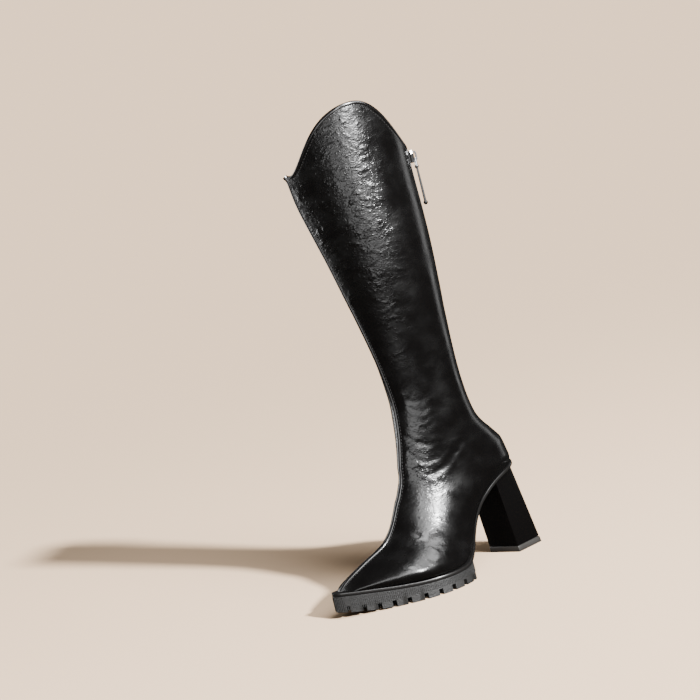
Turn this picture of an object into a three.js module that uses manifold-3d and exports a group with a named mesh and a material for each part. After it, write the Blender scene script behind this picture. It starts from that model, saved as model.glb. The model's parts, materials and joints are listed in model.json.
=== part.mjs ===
// Knee-high boot for the left foot: a hollow leather upper with a scalloped collar and a back zip, a
// full-length midsole, a lugged platform outsole and a flared block heel.
// Millimetres, +Z up, toe towards -Y, outer side of the leg towards +X. Lengths are measured from the rear
// edge of the heel's ground face, and the finished boot is then centred on its own box.
import * as THREE from "three";
import { mergeVertices } from "three/addons/utils/BufferGeometryUtils.js";
import Module from "manifold-3d";

const wasm = await Module();
wasm.setup();

// Driving dimensions
const soleLength = 237;
const ballWidth = 88;
const ballSeat = 17; // height of the seat, the midsole's top, under the ball of the foot
const heelSeat = 90; // height of the seat at the rear of the heel
const toeSpring = 7;
const toeSwing = 19; // how far the toe lies to the inner side of the heel's centre line
const frontDip = 416;
const rearDip = 418;
const wall = 2; // leather and lining together
const gap = 0.3; // between pieces that touch
const midsoleThickness = 3.2;
const insoleThickness = 2;
const insoleSetback = 4; // from the inside of the toe
const foreSlack = 1.2; // from the insole's edge to the upper's wall beside the ball
const heelSlack = 3.4; // and round the heel, where the wall leans in
const seatGap = 0.5; // under the upper's lower edge
const zipLength = 288;

// Sole outline. at: distance from the heel's rear over the sole's length; outer, inner: sideways place over
// the ball width.
const outlineRows = [
  { at: 1.0, outer: -0.215, inner: -0.215 },
  { at: 0.991, outer: -0.145, inner: -0.285 },
  { at: 0.965, outer: -0.065, inner: -0.335 },
  { at: 0.93, outer: 0.02, inner: -0.367 },
  { at: 0.87, outer: 0.15, inner: -0.4 },
  { at: 0.8, outer: 0.29, inner: -0.43 },
  { at: 0.73, outer: 0.42, inner: -0.452 },
  { at: 0.65, outer: 0.52, inner: -0.455 },
  { at: 0.57, outer: 0.545, inner: -0.435 },
  { at: 0.51, outer: 0.52, inner: -0.395 },
  { at: 0.45, outer: 0.452, inner: -0.345 },
  { at: 0.37, outer: 0.33, inner: -0.285 },
  { at: 0.28, outer: 0.27, inner: -0.256 },
  { at: 0.18, outer: 0.272, inner: -0.268 },
  { at: 0.1, outer: 0.27, inner: -0.27 },
  { at: 0.05, outer: 0.205, inner: -0.205 },
  { at: 0.024, outer: 0.105, inner: -0.105 },
  { at: 0.017, outer: 0, inner: 0 },
];

// Seat line along the sole. rise: share of the way from the ball seat up to the heel seat.
const seatRows = [
  { at: 0.0, rise: 1.02 },
  { at: 0.03, rise: 1.0 },
  { at: 0.1, rise: 0.945 },
  { at: 0.18, rise: 0.85 },
  { at: 0.24, rise: 0.745 },
  { at: 0.31, rise: 0.59 },
  { at: 0.36, rise: 0.43 },
  { at: 0.4, rise: 0.28 },
  { at: 0.445, rise: 0.13 },
  { at: 0.485, rise: 0.04 },
  { at: 0.53, rise: 0.008 },
  { at: 0.6, rise: 0 },
  { at: 0.7, rise: 0.005 },
  { at: 0.8, rise: 0.03 },
  { at: 0.89, rise: 0.07 },
  { at: 1.0, rise: 0.12 },
];

// Cuts across the leg, level at the calf and tilting at the heel. run: running distance from the collar;
// front, back: the cut's ends on the centre lines.
const legRows = [
  { run: 0, frontY: -175, frontZ: 472, backY: -46.5, backZ: 472 },
  { run: 72, frontY: -169.5, frontZ: 400, backY: -47.5, backZ: 400 },
  { run: 142, frontY: -153.5, frontZ: 330, backY: -46.5, backZ: 330 },
  { run: 212, frontY: -138.5, frontZ: 260, backY: -48, backZ: 260 },
  { run: 257, frontY: -130, frontZ: 215, backY: -48.5, backZ: 215 },
  { run: 292, frontY: -126.4, frontZ: 180, backY: -46, backZ: 180 },
  { run: 322, frontY: -129, frontZ: 153, backY: -39, backZ: 150 },
  { run: 350, frontY: -134, frontZ: 132, backY: -16.5, backZ: 124 },
  { run: 372, frontY: -139, frontZ: 115, backY: -3.5, backZ: 106 },
];

// How far the shaft's front is turned to the inner side over the foot, in degrees.
const turnRows = [
  { run: 110, degrees: 26 },
  { run: 170, degrees: 21 },
  { run: 240, degrees: 11 },
  { run: 300, degrees: 2.5 },
  { run: 340, degrees: 0 },
];
const shaftAxis = new THREE.Vector3(0, -112, 0);

// Cuts across the foot, whose back ends lie on the seat line and move along it to the toe.
const footRows = [
  { run: 388, frontY: -143, frontZ: 104, backY: -4 },
  { run: 404, frontY: -146.5, frontZ: 95, backY: -20 },
  { run: 424, frontY: -151, frontZ: 85.5, backY: -42 },
  { run: 446, frontY: -155.5, frontZ: 77, backY: -65 },
  { run: 466, frontY: -160, frontZ: 69, backY: -87 },
  { run: 486, frontY: -166, frontZ: 61, backY: -106 },
  { run: 504, frontY: -172, frontZ: 55, backY: -124 },
  { run: 522, frontY: -180, frontZ: 50, backY: -140 },
  { run: 542, frontY: -193, frontZ: 45, backY: -160 },
  { run: 562, frontY: -206, frontZ: 39.5, backY: -181 },
  { run: 580, frontY: -217, frontZ: 34.5, backY: -199.5 },
  { run: 592, frontY: -224, frontZ: 30.5, backY: -212 },
  { run: 600, frontY: -228, frontZ: 27.5, backY: -220.5 },
  { run: 605, frontY: -230.4, frontZ: 25, backY: -224.4 },
];

// Shape of the cuts. outer, inner: greatest half widths; belly: where they are along the cut, from the back;
// low, top: the curve behind and in front of the belly, low 1 being round and 2 straight, top 1 being a
// pointed arch and 2 round.
const shapeRows = [
  { run: 0, outer: 47, inner: 46, belly: 0.5, low: 1.5, top: 1.1 },
  { run: 72, outer: 47, inner: 46, belly: 0.5, low: 1.5, top: 1.1 },
  { run: 142, outer: 45, inner: 44, belly: 0.5, low: 1.4, top: 1.15 },
  { run: 212, outer: 39, inner: 38, belly: 0.48, low: 1.25, top: 1.3 },
  { run: 257, outer: 36, inner: 35, belly: 0.47, low: 1.1, top: 1.45 },
  { run: 292, outer: 35, inner: 34, belly: 0.45, low: 1, top: 1.6 },
  { run: 322, outer: 35, inner: 34, belly: 0.43, low: 1, top: 1.7 },
  { run: 350, outer: 34, inner: 33, belly: 0.42, low: 1, top: 1.75 },
  { run: 372, outer: 34, inner: 33, belly: 0.42, low: 1, top: 1.75 },
  { run: 388, outer: 34, inner: 33, belly: 0.42, low: 1, top: 1.75 },
  { run: 404, outer: 33, inner: 32, belly: 0.4, low: 2.1, top: 1.75 },
  { run: 424, outer: 32.5, inner: 31, belly: 0.38, low: 1.9, top: 1.75 },
  { run: 446, outer: 32, inner: 30, belly: 0.36, low: 1.6, top: 1.75 },
  { run: 466, outer: 34, inner: 30, belly: 0.32, low: 1.3, top: 1.75 },
  { run: 486, outer: 38.5, inner: 32, belly: 0.28, low: 1.05, top: 1.75 },
  { run: 504, outer: 43.5, inner: 35, belly: 0.25, low: 0.9, top: 1.75 },
  { run: 522, outer: 45.5, inner: 37, belly: 0.22, low: 0.8, top: 1.75 },
  { run: 542, outer: 44, inner: 37.5, belly: 0.2, low: 0.8, top: 1.7 },
  { run: 562, outer: 33.5, inner: 34.5, belly: 0.2, low: 0.8, top: 1.65 },
  { run: 580, outer: 20, inner: 29.5, belly: 0.2, low: 0.8, top: 1.65 },
  { run: 592, outer: 10, inner: 25.5, belly: 0.18, low: 0.85, top: 1.7 },
  { run: 600, outer: 3, inner: 22, belly: 0.12, low: 0.9, top: 1.8 },
  { run: 605, outer: 0, inner: 18, belly: 0.02, low: 1, top: 1.9 },
];

const aroundUpper = 40; // cells round a cut of the upper
const collar = { base: 385, rows: 5 };
// Scallops of the collar. peak: height of the top; at: its angle round the shaft from the front; front, rear:
// how sharply the edge rises to it from either dip.
const scallops = {
  outer: { peak: 469, at: 97, front: 1.35, rear: 2 },
  inner: { peak: 464, at: 112, front: 3, rear: 2 },
};
const seatEndRun = footRows[0].run;

const heel = { length: 35, width: 40, tipHeight: 6, lean: 10.8, turnDegrees: 5 };
const heelTop = { length: 33, frontWidth: 39, rearWidth: 25 };
const lug = { pitch: 14.6, width: 4, height: 6, depth: 13 };
const platformRear = -109;
const platformCorner = 7; // radius of the platform's two rear corners
const toeInset = 6.5; // from the sole's edge back to the upper at the toe
const sideInset = 1.8; // the same beside the ball
const waistInset = 0.6; // and along the waist and heel

const slotHalf = 3.4;
const tapeHalf = 8.5;
const slider = { z: 408.5, width: 9, height: 12, thickness: 3, barDrop: 2.4 };
const crown = { width: 1.6, thickness: 1.4, reach: 5, hole: 2.4 };
const link = { wire: 0.75, width: 5.2, length: 8 };
const tab = { width: 3.6, thickness: 1.7, length: 36, knob: 2.2 };

const alongX = new THREE.Vector3(1, 0, 0);
const alongY = new THREE.Vector3(0, 1, 0);
const upright = new THREE.Vector3(0, 0, 1);

const leather = { color: 0x0b0a0a, roughness: 0.22, metalness: 0 };
const rubber = { color: 0x1c1b1b, roughness: 0.75, metalness: 0 };
const edgeRubber = { color: 0x131212, roughness: 0.45, metalness: 0 };
const lining = { color: 0x2a2928, roughness: 0.85, metalness: 0 };
const heelCover = { color: 0x0e0c0c, roughness: 0.35, metalness: 0 };
const zipTape = { color: 0x101011, roughness: 0.7, metalness: 0 };
const steel = { color: 0xc9c9cc, roughness: 0.2, metalness: 1 };
const darkEnamel = { color: 0x19191b, roughness: 0.35, metalness: 0.2 };

// Value of a table's column at x, by a cubic that keeps each stretch between its two rows.
function follow(rows, key, column, x) {
  const last = rows.length - 1;
  if (x <= rows[0][key]) return rows[0][column];
  if (x >= rows[last][key]) return rows[last][column];
  let i = 0;
  while (rows[i + 1][key] < x) i++;
  const rate = (n) => (rows[n + 1][column] - rows[n][column]) / (rows[n + 1][key] - rows[n][key]);
  const slope = (n) => {
    if (n === 0) return rate(0);
    if (n === last) return rate(last - 1);
    const [before, after] = [rate(n - 1), rate(n)];
    return before * after <= 0 ? 0 : (2 * before * after) / (before + after);
  };
  const step = rows[i + 1][key] - rows[i][key];
  const t = (x - rows[i][key]) / step;
  const from = rows[i][column] * (1 + 2 * t) * (1 - t) ** 2 + slope(i) * step * t * (1 - t) ** 2;
  return from + rows[i + 1][column] * t * t * (3 - 2 * t) + slope(i + 1) * step * t * t * (t - 1);
}

const seatHeight = (y) => ballSeat + (heelSeat - ballSeat) * follow(seatRows, "at", "rise", -y / soleLength);
const seatSteepness = (y) => Math.hypot(1, seatHeight(y + 0.5) - seatHeight(y - 0.5));
const midsoleUnderside = (y) => seatHeight(y) - midsoleThickness * seatSteepness(y);

// The outline as a closed ring of points: outer side from toe to heel, then inner side back to the toe.
function outlineRing() {
  const place = (row, side) => new THREE.Vector3(row[side] * ballWidth, -row.at * soleLength, 0);
  const outer = outlineRows.map((row) => place(row, "outer"));
  const inner = outlineRows.slice(1, -1).reverse().map((row) => place(row, "inner"));
  return new THREE.CatmullRomCurve3([...outer, ...inner], true, "centripetal").getPoints(340).slice(0, -1);
}

// The ring moved inwards by inset(y).
function insetRing(ring, inset) {
  return ring.map((p, i) => {
    const before = ring[(i + ring.length - 1) % ring.length];
    const after = ring[(i + 1) % ring.length];
    const inward = new THREE.Vector3(before.y - after.y, after.x - before.x, 0).normalize();
    return p.clone().addScaledVector(inward, inset(p.y));
  });
}

// Sideways place of a ring's outer (1) or inner (-1) side at y.
function sideOf(ring, y, side) {
  let best = null;
  ring.forEach((p, i) => {
    const q = ring[(i + 1) % ring.length];
    if ((p.y - y) * (q.y - y) > 0 || p.y === q.y) return;
    const x = p.x + ((q.x - p.x) * (y - p.y)) / (q.y - p.y);
    if (best === null || side * x > side * best) best = x;
  });
  return best;
}

const ends = (ring) => [Math.min(...ring.map((p) => p.y)), Math.max(...ring.map((p) => p.y))];

const soleRing = outlineRing();
const upperInset = (y) => {
  const at = -y / soleLength;
  const forepart = THREE.MathUtils.smoothstep(at, 0.4, 0.55);
  const toe = THREE.MathUtils.smoothstep(at, 0.9, 1);
  return waistInset + (sideInset - waistInset) * forepart + (toeInset - sideInset) * toe;
};
const featherRing = insetRing(soleRing, upperInset);
const insoleRing = insetRing(soleRing, (y) => {
  const heelward = THREE.MathUtils.smoothstep(y, -90, -20);
  return upperInset(y) + wall + THREE.MathUtils.lerp(foreSlack, heelSlack, heelward);
});

// Sideways place of the centre line, which swings to the inner side at the toe.
const seamX = (y) => {
  const reach = THREE.MathUtils.clamp((-y - 110) / (soleLength - 110), 0, 1);
  return -toeSwing * reach ** 1.3;
};

function meshOf(name, geometry, material) {
  const mesh = new THREE.Mesh(geometry, new THREE.MeshStandardMaterial(material));
  mesh.name = name;
  return mesh;
}

// A closed surface from points and triangles, turned so that it faces out.
function geometryOf(points, faces) {
  const volume = faces.reduce((sum, [a, b, c]) => sum + points[a].dot(points[b].clone().cross(points[c])), 0);
  if (volume < 0) faces.forEach((face) => face.reverse());
  const geometry = new THREE.BufferGeometry();
  const positions = points.flatMap((p) => p.toArray());
  geometry.setAttribute("position", new THREE.Float32BufferAttribute(positions, 3));
  geometry.setIndex(faces.flat());
  return mergeVertices(geometry, 1e-4);
}

function solidOf(geometry) {
  const bare = geometry.index ? geometry.toNonIndexed() : geometry.clone();
  for (const name of Object.keys(bare.attributes)) if (name !== "position") bare.deleteAttribute(name);
  const merged = mergeVertices(bare, 1e-4);
  const vertProperties = new Float32Array(merged.attributes.position.array);
  const triVerts = new Uint32Array(merged.index.array);
  return new wasm.Manifold(new wasm.Mesh({ numProp: 3, vertProperties, triVerts }));
}

function geometryFrom(solid) {
  const { numProp, vertProperties, triVerts } = solid.getMesh();
  const geometry = new THREE.BufferGeometry();
  const positions = [];
  for (let i = 0; i < vertProperties.length; i += numProp) positions.push(...vertProperties.slice(i, i + 3));
  geometry.setAttribute("position", new THREE.Float32BufferAttribute(positions, 3));
  return geometry.setIndex([...triVerts]);
}

const fan = (count) => Array.from({ length: count - 2 }, (_, i) => [0, i + 1, i + 2]);

// A solid through rings of equally many points, whose two ends are filled by the triangles that cap lists.
function loft(rings, cap = fan(rings[0].length)) {
  const n = rings[0].length;
  const faces = [];
  for (let i = 0; i + 1 < rings.length; i++) {
    for (let k = 0; k < n; k++) {
      const next = (k + 1) % n;
      const [a, b, c, d] = [i * n + k, i * n + next, (i + 1) * n + next, (i + 1) * n + k];
      faces.push([a, b, c], [a, c, d]);
    }
  }
  const tail = (rings.length - 1) * n;
  for (const [a, b, c] of cap) faces.push([a, c, b], [tail + a, tail + b, tail + c]);
  return geometryOf(rings.flat(), faces);
}

// A plate over a ring's outline between two heights, as a loft of upright oblongs from y1 to y2.
function plate(ring, y1, y2, steps, bottom, top, cornerInset = () => 0) {
  const rings = [];
  for (let i = 0; i <= steps; i++) {
    const eased = (1 - Math.cos((Math.PI * i) / steps)) / 2;
    const share = 0.5 * eased + (0.5 * i) / steps;
    const y = y1 + (y2 - y1) * share;
    const outer = sideOf(ring, y, 1) - cornerInset(y);
    const inner = sideOf(ring, y, -1) + cornerInset(y);
    rings.push([
      new THREE.Vector3(outer, y, bottom(y)),
      new THREE.Vector3(outer, y, top(y)),
      new THREE.Vector3(inner, y, top(y)),
      new THREE.Vector3(inner, y, bottom(y)),
    ]);
  }
  return loft(rings);
}

// Upper

const lineRows = [
  ...legRows,
  ...footRows.map((row) => ({ ...row, backZ: seatHeight(row.backY) + seatGap })),
];

// Half of the cut at a run as points from the back or the seat up to the front centre line.
function halfCut(run, side) {
  const value = (column) => follow(column in lineRows[0] ? lineRows : shapeRows, "run", column, run);
  const onSeat = run > seatEndRun;
  const back = new THREE.Vector2(value("backY"), value("backZ"));
  if (onSeat) back.y = seatHeight(back.x) + seatGap;
  const reach = new THREE.Vector2(value("frontY"), value("frontZ")).sub(back);
  const foot = onSeat ? side * sideOf(featherRing, back.x, side) : 0;
  const seam = side * seamX(value("frontY"));
  const widest = Math.max(value(side > 0 ? "outer" : "inner"), foot + 0.4);
  const belly = value("belly");
  const fullness = 2 / value("top");
  const points = [];
  const steps = 48;
  const put = (x, h) => points.push(new THREE.Vector3(side * x, back.x + reach.x * h, back.y + reach.y * h));
  for (let i = 0; i < steps; i++) {
    const turn = (Math.PI / 2) * (i / steps);
    put(foot + (widest - foot) * Math.sin(turn) ** value("low"), belly * (1 - Math.cos(turn)));
  }
  for (let i = 0; i <= steps; i++) {
    const turn = (Math.PI / 2) * (i / steps);
    const across = i === steps ? 0 : Math.cos(turn) ** fullness;
    put(seam + (widest - seam) * across, belly + (1 - belly) * Math.sin(turn));
  }
  return points;
}

// The point that lies a share of the way along half a cut, the zip's slot being left out at the back.
function pointOn(points, side, share, slot) {
  const kept = slot > 0 ? points.filter((p) => side * p.x > slot || p.y < points[0].y - 20) : points.slice();
  if (slot > 0) kept.unshift(new THREE.Vector3(side * slot, kept[0].y, kept[0].z));
  const reached = [0];
  for (let i = 1; i < kept.length; i++) reached.push(reached[i - 1] + kept[i].distanceTo(kept[i - 1]));
  const goal = share * reached[kept.length - 1];
  let i = 1;
  while (i < kept.length - 1 && reached[i] < goal) i++;
  const t = (goal - reached[i - 1]) / Math.max(reached[i] - reached[i - 1], 1e-9);
  return kept[i - 1].clone().lerp(kept[i], Math.min(t, 1));
}

// A point of the grid before the shaft is turned.
function plainPoint(run, k, slot) {
  const half = aroundUpper / 2;
  const side = k <= half ? 1 : -1;
  return pointOn(halfCut(run, side), side, Math.min(k, aroundUpper - k) / half, slot);
}

const turnAt = (run) => -THREE.MathUtils.degToRad(follow(turnRows, "run", "degrees", run));
const turned = (p, run) => p.clone().sub(shaftAxis).applyAxisAngle(upright, turnAt(run)).add(shaftAxis);

const legRunAt = (z) => legRows[0].frontZ - z;

// Height of the collar's edge by the angle round the shaft from its front.
function collarHeight(angle, scallop) {
  const forward = angle <= scallop.at;
  const share = forward ? angle / scallop.at : (180 - angle) / (180 - scallop.at);
  const dip = forward ? frontDip : rearDip;
  const sharpness = forward ? scallop.front : scallop.rear;
  return dip + (scallop.peak - dip) * Math.sin((Math.PI / 2) * share) ** sharpness;
}

// The row of points that is a share of the way down from the collar's edge to the first level cut.
function collarRow(share) {
  const [front, back] = [legRows[1].frontY, legRows[1].backY];
  const angleOf = (p) => {
    const along = ((front + back) / 2 - p.y) / ((back - front) / 2);
    return THREE.MathUtils.radToDeg(Math.atan2(Math.abs(p.x) / shapeRows[1].outer, along));
  };
  return Array.from({ length: aroundUpper + 1 }, (_, k) => {
    const scallop = k <= aroundUpper / 2 ? scallops.outer : scallops.inner;
    let p = plainPoint(legRunAt(collar.base), k, slotHalf);
    for (let pass = 0; pass < 4; pass++) {
      const z = THREE.MathUtils.lerp(collarHeight(angleOf(p), scallop), collar.base, share);
      p = plainPoint(legRunAt(z), k, slotHalf);
    }
    return turned(p, legRunAt(p.z));
  });
}

const spread = (from, to, count) => Array.from({ length: count }, (_, i) => from + ((to - from) * i) / count);

const slotEnd = legRunAt(rearDip) + zipLength;

// Rows of points over the upper's outside from the collar to the toe. slotRows of them are parted by the
// zip's slot, and from seatRow on they are open underneath.
function upperGrid() {
  const rows = spread(0, 1, collar.rows).map(collarRow);
  const legRuns = [...spread(legRunAt(collar.base), 290, 10), ...spread(290, slotEnd, 5), slotEnd];
  legRuns.push(slotEnd + 1.5, ...spread(slotEnd + 8, seatEndRun, 5));
  const footRuns = [...spread(seatEndRun, 397, 4), ...spread(397, 580, 16), ...spread(580, 600, 3)];
  footRuns.push(600, 603, 605);
  for (const run of [...legRuns, ...footRuns]) {
    const slot = run <= slotEnd ? slotHalf : 0;
    rows.push(Array.from({ length: aroundUpper + 1 }, (_, k) => turned(plainPoint(run, k, slot), run)));
  }
  const slotRows = collar.rows + legRuns.filter((run) => run <= slotEnd).length;
  return { rows, slotRows, seatRow: collar.rows + legRuns.length };
}

// Outward directions at the grid's points. Along the back they stay in the middle plane, and along the open
// underside none points up, so that the wall's inner edge stays over the seat.
function outwardAt(grid) {
  const { rows, slotRows, seatRow } = grid;
  const last = rows.length - 1;
  const across = rows.map((row) => turned(alongX.clone().add(shaftAxis), legRunAt(row[0].z)).sub(shaftAxis));
  return rows.map((row, j) => {
    const joined = j >= slotRows && j <= seatRow;
    const directions = row.map((p, k) => {
      const kept = (n) => THREE.MathUtils.clamp(n, 0, aroundUpper);
      const wrapped = (n) => (joined ? (n + aroundUpper) % aroundUpper : kept(n));
      const around = row[wrapped(k + 1)].clone().sub(row[wrapped(k - 1)]);
      const down = rows[Math.min(j + 1, last)][k].clone().sub(rows[Math.max(j - 1, 0)][k]);
      const out = around.cross(down).normalize();
      const underside = j === last || (j > seatRow && (k === 0 || k === aroundUpper));
      if (underside) out.z = Math.min(out.z, 0);
      if (j <= seatRow && (k === 0 || k === aroundUpper)) out.addScaledVector(across[j], -out.dot(across[j]));
      return out.normalize();
    });
    if (joined) directions[aroundUpper] = directions[0];
    return directions;
  });
}

// The upper: its outside, the same moved in by the wall, and rims round the collar, the slot and the
// underside.
function upperSolid() {
  const grid = upperGrid();
  const { rows, slotRows, seatRow } = grid;
  const out = outwardAt(grid);
  const width = aroundUpper + 1;
  const inside = rows.map((row, j) =>
    row.map((p, k) => {
      const q = p.clone().addScaledVector(out[j][k], -wall);
      if (j >= seatRow) q.z = Math.max(q.z, seatHeight(q.y) + seatGap);
      return q;
    }),
  );
  const points = [...rows.flat(), ...inside.flat()];
  const outer = (j, k) => j * width + k;
  const inner = (j, k) => rows.length * width + j * width + k;
  const faces = [];
  const quad = (a, b, c, d) => faces.push([a, b, c], [a, c, d]);
  for (let j = 0; j + 1 < rows.length; j++) {
    for (let k = 0; k < aroundUpper; k++) {
      quad(outer(j, k), outer(j + 1, k), outer(j + 1, k + 1), outer(j, k + 1));
      quad(inner(j, k), inner(j, k + 1), inner(j + 1, k + 1), inner(j + 1, k));
    }
    if (j >= slotRows && j < seatRow) continue;
    quad(outer(j, 0), inner(j, 0), inner(j + 1, 0), outer(j + 1, 0));
    quad(outer(j, aroundUpper), outer(j + 1, aroundUpper), inner(j + 1, aroundUpper), inner(j, aroundUpper));
  }
  const last = rows.length - 1;
  for (let k = 0; k < aroundUpper; k++) {
    quad(outer(0, k), outer(0, k + 1), inner(0, k + 1), inner(0, k));
    quad(outer(last, k), inner(last, k), inner(last, k + 1), outer(last, k + 1));
  }
  return geometryOf(points, faces);
}

// Soles

const [soleToe, soleRear] = ends(soleRing);

function midsoleSolid() {
  return plate(soleRing, soleToe + 0.02, soleRear - 0.02, 64, midsoleUnderside, seatHeight);
}

function insoleSolid() {
  const [toe, rear] = ends(insoleRing);
  const bottom = (y) => seatHeight(y) + gap;
  const top = (y) => bottom(y) + insoleThickness * seatSteepness(y);
  return plate(insoleRing, toe + insoleSetback, rear - 0.5, 48, bottom, top);
}

const groundLine = (y) => toeSpring * Math.max(0, (-y / soleLength - 0.77) / 0.23) ** 1.6;

// A closed upright prism over a floor plan.
function prism(plan, bottom, top) {
  const ring = (z) => plan.map((p) => new THREE.Vector3(p.x, p.y, z));
  return loft([ring(bottom), ring(top)]);
}

// Places along one side of the outline every lug pitch, with the direction into the sole.
function lugPlaces(side) {
  const walk = soleRing.filter((p) => p.y < platformRear - 1 && side * p.x > side * seamX(p.y));
  if (side < 0) walk.reverse();
  const places = [];
  let reached = 0;
  let goal = lug.pitch * 0.8;
  for (let i = 1; i + 1 < walk.length; i++) {
    reached += walk[i].distanceTo(walk[i - 1]);
    if (reached < goal) continue;
    const along = walk[i + 1].clone().sub(walk[i - 1]).normalize();
    places.push({ at: walk[i], along, into: new THREE.Vector3(-side * along.y, side * along.x, 0) });
    goal += lug.pitch;
  }
  return places;
}

// The lugged platform under the forepart, notched in from both edges.
function outsoleSolid() {
  const corner = platformCorner;
  const cornerInset = (y) => {
    const past = y - (platformRear - corner);
    return past <= 0 ? 0 : corner - Math.sqrt(Math.max(corner * corner - past * past, 0));
  };
  const top = (y) => midsoleUnderside(y) - gap;
  let sole = solidOf(plate(soleRing, soleToe + 0.02, platformRear, 48, groundLine, top, cornerInset));
  for (const side of [1, -1]) {
    for (const { at, along, into } of lugPlaces(side)) {
      const start = at.clone().addScaledVector(into, -3);
      const end = at.clone().addScaledVector(into, lug.depth);
      const shift = along.clone().multiplyScalar(lug.width / 2);
      const plan = [
        start.clone().sub(shift),
        start.clone().add(shift),
        end.clone().add(shift),
        end.clone().sub(shift),
      ];
      sole = sole.subtract(solidOf(prism(plan, -2, groundLine(at.y) + lug.height)));
    }
  }
  return geometryFrom(sole);
}

// Heel

const heelTurn = THREE.MathUtils.degToRad(heel.turnDegrees);
const heelTopHeight = midsoleUnderside(-heel.lean - heelTop.length / 2);

// The heel's side edges between two heights, as upright slices from its front face to its rear face.
function heelSolid(bottom, top) {
  const centre = new THREE.Vector3(0, -heel.length / 2, 0);
  const steps = 6;
  const rings = [];
  for (let i = 0; i <= steps; i++) {
    const corner = (side, height) => {
      const up = height / heelTopHeight;
      const length = THREE.MathUtils.lerp(heel.length, heelTop.length, up);
      const topWidth = THREE.MathUtils.lerp(heelTop.frontWidth, heelTop.rearWidth, i / steps);
      const width = THREE.MathUtils.lerp(heel.width, topWidth, up);
      const y = -heel.lean * up - length * (1 - i / steps);
      const p = new THREE.Vector3((side * width) / 2, y, 0).sub(centre);
      return p.applyAxisAngle(upright, heelTurn).add(centre);
    };
    const place = (side, level) => {
      if (level !== null) return corner(side, level).setZ(level);
      const p = corner(side, heelTopHeight);
      return p.setZ(midsoleUnderside(p.y) - gap);
    };
    rings.push([place(1, bottom), place(1, top), place(-1, top), place(-1, bottom)]);
  }
  return loft(rings);
}

// Zip

// The point of the upper's outside at height z that is x from the middle of the back.
function backPoint(z, x) {
  const half = halfCut(legRunAt(z), 1);
  const i = half.findIndex((p) => p.x >= Math.abs(x));
  const p = half[Math.max(i, 1)].clone();
  return p.lerp(half[Math.max(i, 1) - 1], (p.x - Math.abs(x)) / (p.x - half[Math.max(i, 1) - 1].x)).setX(x);
}

// The chain fills the slot and the tape lies inside the shaft, as one T-shaped strip that follows the back.
function zipSolid() {
  const chainHalf = slotHalf - 2 * gap;
  const [face, tapeFront, tapeBack] = [0.5, wall + 2 * gap, wall + 1 + 2 * gap];
  const profile = [
    [-chainHalf, face],
    [chainHalf, face],
    [chainHalf, tapeFront],
    [tapeHalf, tapeFront],
    [tapeHalf, tapeBack],
    [-tapeHalf, tapeBack],
    [-tapeHalf, tapeFront],
    [-chainHalf, tapeFront],
  ];
  const flat = profile.map(([x, depth]) => new THREE.Vector2(x, depth));
  const teeCap = THREE.ShapeUtils.triangulateShape(flat, []);
  const foot = legRows[0].frontZ - slotEnd + 1.5;
  const rings = [...spread(rearDip - 1, foot, 28), foot].map((z) =>
    profile.map(([x, depth]) => {
      const p = backPoint(z, x);
      const slant = Math.hypot(1, (backPoint(z + 1, x).y - backPoint(z - 1, x).y) / 2);
      return turned(p.setY(p.y - depth * slant).setZ(z), legRunAt(z));
    }),
  );
  return loft(rings, teeCap);
}

const sliderFace = backPoint(slider.z, 0).y + gap; // the slider's own inner face
const bodyFace = sliderFace + slider.thickness;
const hingePoint = new THREE.Vector3(0, bodyFace + crown.hole / 2, slider.z - slider.barDrop);

// An outline in the YZ plane given a width across X.
function slab(outline, width) {
  const shape = new THREE.Shape(outline.map(([y, z]) => new THREE.Vector2(y, z)));
  const geometry = new THREE.ExtrudeGeometry(shape, { depth: width, bevelEnabled: false });
  geometry.translate(0, 0, -width / 2);
  return geometry.applyMatrix4(new THREE.Matrix4().makeBasis(alongY, upright, alongX));
}

// The slider's tapered body and the crown that holds the pull's bar.
function sliderSolid() {
  const [w, h] = [slider.width / 2, slider.height / 2];
  const plan = [[-w * 0.7, -h], [w * 0.7, -h], [w, h * 0.4], [w * 0.75, h], [-w * 0.75, h], [-w, h * 0.4]];
  const ring = (y, scale) => plan.map(([x, z]) => new THREE.Vector3(x * scale, y, slider.z + z * scale));
  const body = loft([ring(sliderFace, 1), ring(bodyFace - 0.8, 1), ring(bodyFace, 0.86)]);
  const foot = -0.4; // the crown's feet are sunk in the body
  const [hole, rise, reach] = [crown.hole, crown.hole + crown.thickness, crown.reach];
  const inner = reach - crown.thickness;
  const arch = [[foot, -reach], [rise - 1.4, -reach], [rise, -inner + 0.3], [rise, inner - 0.3]];
  arch.push([rise - 1.4, reach]);
  arch.push([foot, reach], [foot, inner], [hole - 0.6, inner], [hole, inner - 0.8]);
  arch.push([hole, 0.8 - inner], [hole - 0.6, -inner], [foot, -inner]);
  const bridge = slab(arch, crown.width).translate(0, bodyFace, slider.z);
  return geometryFrom(solidOf(body).add(solidOf(bridge)));
}

function rod(from, to, radius) {
  const span = to.clone().sub(from);
  const geometry = new THREE.CylinderGeometry(radius, radius, span.length(), 8);
  const turn = new THREE.Quaternion().setFromUnitVectors(alongY, span.normalize());
  const middle = from.clone().lerp(to, 0.5);
  return solidOf(geometry.applyQuaternion(turn).translate(...middle.toArray()));
}

// The ring of wire through the slider's crown, from which the tab hangs.
function linkSolid() {
  const half = link.width / 2;
  const corner = (side, drop) => hingePoint.clone().add(new THREE.Vector3(side * half, 0, -drop));
  const corners = [corner(-1, 0), corner(1, 0), corner(1, link.length), corner(-1, link.length)];
  let wire = null;
  corners.forEach((from, i) => {
    const knuckle = new THREE.SphereGeometry(link.wire * 1.04, 8, 4).translate(...from.toArray());
    const piece = rod(from, corners[(i + 1) % 4], link.wire).add(solidOf(knuckle));
    wire = wire ? wire.add(piece) : piece;
  });
  return geometryFrom(wire);
}

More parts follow.
